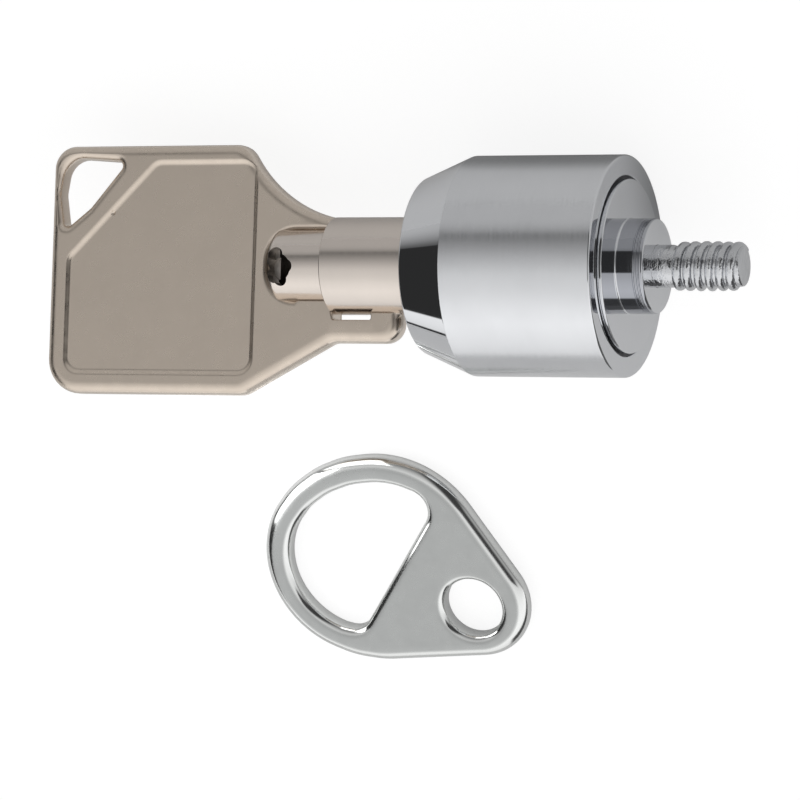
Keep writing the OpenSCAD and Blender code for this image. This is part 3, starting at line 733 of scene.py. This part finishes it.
def inward(outline):
    """Unit directions from each point of an outline into the material on its left."""
    way = np.roll(outline[:, :2], -1, 0) - outline[:, :2]
    way /= np.linalg.norm(way, axis=1)[:, None]
    both = way + np.roll(way, 1, 0)
    both /= np.linalg.norm(both, axis=1)[:, None]
    return np.stack([-both[:, 1], both[:, 0]], 1)


def two_faced(name, spots, triangles, top, low):
    """A closed plate over flat triangles: a face at top, one at low and a wall along each free edge."""
    one = spots[triangles[:, 1]] - spots[triangles[:, 0]]
    other = spots[triangles[:, 2]] - spots[triangles[:, 0]]
    backwards = one[:, 0] * other[:, 1] < one[:, 1] * other[:, 0]
    triangles[backwards] = triangles[backwards][:, ::-1]
    count = len(spots)
    faces = triangles.tolist() + (triangles[:, ::-1] + count).tolist()
    edges = dict.fromkeys(edge for a, b, c in triangles.tolist() for edge in ((a, b), (b, c), (c, a)))
    faces += [(b, a, a + count, b + count) for a, b in edges if (b, a) not in edges]
    verts = np.concatenate([np.column_stack([spots, top]), np.column_stack([spots, low])])
    mesh = bpy.data.meshes.new(name)
    mesh.from_pydata((verts * MM).tolist(), [], faces)
    shape = bmesh.new()
    shape.from_mesh(mesh)
    bmesh.ops.delete(shape, geom=[v for v in shape.verts if not v.link_faces], context="VERTS")
    shape.to_mesh(mesh)
    shape.free()
    return smooth(put_in_scene(name, mesh), sharp=50)


def plate(name, loops, thick, slope=1.0, panel=None, dot=None):
    """A flat plate with rounded edges. Each loop's rows are x, y and how wide the edge is rounded there,
    with the material on the left; slope is the depth of the round over its width. panel is the outline,
    depth and step of a sunk field on both faces, and dot the place, radius and depth of a punch mark on
    the upper one."""
    loops = [finely(loop) for loop in loops]
    points, chains = [], []

    def ring(rows, keep):
        """Adds the rows that are kept, chained where two neighbours are."""
        names = np.full(len(rows), -1)
        names[keep] = len(points) + np.arange(keep.sum())
        points.extend(rows[keep].tolist())
        for a, b in zip(names, np.roll(names, -1)):
            if a >= 0 and b >= 0:
                chains.append((int(a), int(b)))

    def terrace(outline, widths, shares):
        """Adds rings inside an outline, without the points that come too near its other sides."""
        for share in shares:
            reach = share * widths
            rows = outline[:, :2] + inward(outline) * reach[:, None]
            ring(rows, gap(rows, *sides(outline)) > np.abs(reach) * 0.985 - 0.0005)

    for loop in loops:
        ring(loop[:, :2], np.ones(len(loop), bool))
    for loop in loops:
        terrace(loop, loop[:, 2], ROUND_SHARES)
    if panel:
        field, sink, step = finely(panel[0]), *panel[1:]
        terrace(field, np.full(len(field), step), PANEL_SHARES)
    if dot:
        dot_x, dot_y, dot_r, dot_depth = dot
        for share in DOT_SHARES:
            rim = arc((dot_x, dot_y), share * dot_r, 0, 2 * math.pi, DOT_SIDES)[:-1]
            ring(np.array(rim), np.ones(DOT_SIDES, bool))
    flat = geometry.delaunay_2d_cdt([Vector(p) for p in points], chains, [], 0, 1e-5)
    spots = np.array([tuple(v) for v in flat[0]])
    triangles = np.array(flat[2])
    middles = spots[triangles].mean(1)
    solid = inside(middles, loops[0])
    for loop in loops[1:]:
        solid &= ~inside(middles, loop)
    drop = np.zeros(len(spots))
    for loop in loops:
        starts, ends = sides(loop)
        for r in np.unique(loop[:, 2]):
            some = loop[:, 2] == r
            deep = np.clip(r - gap(spots, starts[some], ends[some]), 0, r)
            drop = np.maximum(drop, slope * (r - np.sqrt(r * r - deep * deep)))
    if panel:
        share = np.clip(gap(spots, *sides(field)) / step, 0, 1)
        drop += sink * np.where(inside(spots, field), share * share * (3 - 2 * share), 0)
    top = thick / 2 - drop
    low = -top
    if dot:
        share = np.clip(np.hypot(spots[:, 0] - dot_x, spots[:, 1] - dot_y) / dot_r, 0, 1)
        top = top - dot_depth * (1 - share * share)
    return two_faced(name, spots, triangles[solid], top, low)


def belt(circles, steps=240):
    """The tight outline round some circles, counter-clockwise."""
    out = []
    for k in range(steps):
        way = np.array([math.cos(2 * math.pi * k / steps), math.sin(2 * math.pi * k / steps)])
        out.append(max((np.array(c) + r * way for c, r in circles), key=lambda p: p @ way))
    return np.array(out)


# the tube and its tail bulge past the plate's slot, so their sides meet its faces
TUBE_SIDE = 0.12 - TUBE_R
TAIL_SIDE = TAIL_R - 0.14
SLIT_SIDE = -TUBE_R - SLIT_W
NECK_X = TUBE_X - 0.02
THROAT_X = TUBE_X + 0.1
# the upper right corner's arc runs on into the hollow sweep that ends at the tube
corner_y = BOW_TOP - BOW_CORNER
sweep_x = TUBE_X + SWEEP_X
sweep_y = BOW_TOP + SWEEP_Y
corner_x = sweep_x - math.sqrt((SWEEP_R + BOW_CORNER) ** 2 - (sweep_y - corner_y) ** 2)
meet = math.atan2(sweep_y - corner_y, sweep_x - corner_x)
tube_end = math.atan2(-math.sqrt(SWEEP_R ** 2 - SWEEP_X ** 2), -SWEEP_X)
bow_edge = [
    (BOW_X, BOW_BOTTOM, LOW_CORNER, EDGE_ROUND), (SQUARE_X - 1, BOW_BOTTOM, BOW_CORNER, EDGE_ROUND),
    (THROAT_X, ARM_Y, 1.2, EDGE_ROUND), (ARM_END, ARM_Y, 1.4, EDGE_ROUND),
    (ARM_END, TUBE_SIDE, 0.12, SLIT_ROUND), (SLIT_END, TUBE_SIDE, 0.05, SLIT_ROUND),
    (SLIT_END, SLIT_SIDE, 0.15, SLIT_ROUND), (THROAT_X, SLIT_SIDE, 0.15, SLIT_ROUND),
    (THROAT_X, TUBE_SIDE, 0, SLIT_ROUND), (NECK_X, TUBE_SIDE, 0, SLIT_ROUND),
    (NECK_X, -TAIL_SIDE, 0, SLIT_ROUND), (WINDOW_END, -TAIL_SIDE, WINDOW_CORNER, WINDOW_ROUND),
    (WINDOW_END, TAIL_SIDE, WINDOW_CORNER, WINDOW_ROUND), (NECK_X, TAIL_SIDE, 0, SLIT_ROUND),
    *arc((sweep_x, sweep_y), SWEEP_R, tube_end, meet - math.pi - tube_end, 40, 0, EDGE_ROUND),
    *arc((corner_x, corner_y), BOW_CORNER, meet, math.pi / 2 - meet, 9, 0, EDGE_ROUND)[1:],
    (BOW_X, BOW_TOP, BOW_CORNER, EDGE_ROUND)]
# the ring hole is drawn tight round four circles, by their places from the upper left corner
ring_hole = belt([((BOW_X + x, BOW_TOP + y), r) for x, y, r in (
    (1.36, -5.63, 0.35), (5.32, -1.55, 0.35), (2.5, -2.65, 1.65), (2.15, -3.6, 1.45))])[::-1]
field = [(x, y, PANEL_CORNER) for x, y in (
    (BOW_X + PANEL_RIM, BOW_BOTTOM + PANEL_RIM), (SQUARE_X - 0.1, BOW_BOTTOM + PANEL_RIM),
    (SQUARE_X - 0.1, PANEL_TOP), (BOW_X + 8.6, PANEL_TOP), (BOW_X + PANEL_RIM, PANEL_TOP - 7.25))]
bow = plate("bow_plate", [soften(bow_edge), [(x, y, HOLE_ROUND) for x, y in ring_hole]], BOW_T,
            panel=(soften(field), PANEL_DEPTH, PANEL_STEP), dot=PUNCH_MARK)
bow.data.transform(Matrix.Rotation(KEY_ROLL, 4, "X"))


def bow_edge_highlight(tree, axes):
    """The rounded edges below the faces, which carry a painted highlight, but not the window."""
    lift = sums(tree, "ADD", sums(tree, "MULTIPLY", axes[1], -math.sin(KEY_ROLL)),
                sums(tree, "MULTIPLY", axes[2], math.cos(KEY_ROLL)))
    aside = sums(tree, "ADD", sums(tree, "MULTIPLY", axes[1], math.cos(KEY_ROLL)),
                 sums(tree, "MULTIPLY", axes[2], math.sin(KEY_ROLL)))
    window = sums(tree, "MULTIPLY", between(tree, axes[0], (SQUARE_X + 0.1) * MM, TUBE_X * MM, 0.05 * MM),
                  between(tree, sums(tree, "ABSOLUTE", aside), -1, (TAIL_R + 0.5) * MM, 0.05 * MM))
    edge = between(tree, sums(tree, "ABSOLUTE", lift), -1, (BOW_T / 2 - PANEL_DEPTH - 0.12) * MM, 0.08 * MM)
    return sums(tree, "SUBTRACT", edge, sums(tree, "MULTIPLY", edge, window))


# painted highlight: the rounded edges are given a lighter nickel than the faces
key_nickel = metal("key_nickel", (0.705, 0.615, 0.525), rough=0.3, grain=(1.2, 1.2, 1.2), bump=0.0025,
                   tint=0.07, polish=0.2, bright=(0.84, 0.75, 0.66), mask=bow_edge_highlight)
bow.data.materials.append(key_nickel)
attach(bow, "key")
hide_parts("key_bow")

# Cable bracket.
# Die-cast zinc, tumbled and nickelled: a flat loop with a D-shaped opening for a security cable and a
# round hole for the case screw. It lies loose on the table beside the lock.
BRACKET_X = -29.9
BRACKET_Y = -26.9
BRACKET_Z = -8.0
BRACKET_T = 1.8
LOOP_R = 7.8
RIM_W = 2.15
EYE_FLAT = 2.9
EYE_CORNER = 1.7
EYE_TURN = math.radians(-35)
LUG = ((9.15, -3.0), 4.5)
HOLE = ((9.1, -3.35), 2.35)
OUTER_ROUND = 1.15
OPENING_ROUND = 0.8
BORE_ROUND = 0.72
ROUND_SLOPE = 0.75
# the loop widens a little towards the lug
loop_circles = [((2.5 * s, 0.6 * s), LOOP_R + 0.6 * s + 1.2 * s * (1 - s)) for s in (0, 0.25, 0.5, 0.75, 1)]
bracket_circles = [*loop_circles, LUG]
# the opening keeps the rim's width all round and is cut off straight on the lug's side
across = np.array([math.cos(EYE_TURN), math.sin(EYE_TURN)])
eye_room = belt([(c, r - RIM_W - EYE_CORNER) for c, r in bracket_circles])
too_far = eye_room @ across - (EYE_FLAT - EYE_CORNER)
eye_room = [tuple(p - across * max(0, d)) for p, d in zip(eye_room, too_far)]
opening = belt([(p, EYE_CORNER) for p in eye_room])[::-1]


def laid_down(outline, edge_round):
    """An outline of the bracket in its place on the table, with the width of its edge's round."""
    return [(x + BRACKET_X, y + BRACKET_Y, edge_round) for x, y in outline]


outer = laid_down(belt(bracket_circles), OUTER_ROUND)
cable_opening = laid_down(opening, OPENING_ROUND)
bore = laid_down(belt([HOLE], 72)[::-1], BORE_ROUND)
bracket = plate("bracket_plate", [outer, cable_opening, bore], BRACKET_T, slope=ROUND_SLOPE)
bracket.data.transform(Matrix.Translation((0, 0, (BRACKET_Z + BRACKET_T / 2) * MM)))


def bracket_edge_highlight(tree, axes):
    """All below the upper face, which carries a painted highlight."""
    return between(tree, axes[2], -1, (BRACKET_Z + BRACKET_T - 0.06) * MM, 0.04 * MM)


# painted highlight: the rounded edges are given a nickel nearly twice as light as the face
bracket_nickel = metal("bracket_nickel", (0.42, 0.43, 0.425), rough=0.3, grain=(1.0, 1.0, 1.0), bump=0.003,
                       tint=0.06, polish=0.12, bright=(0.80, 0.81, 0.80), mask=bracket_edge_highlight)
bracket.data.materials.append(bracket_nickel)
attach(bracket, "bracket")
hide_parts("cable_bracket")
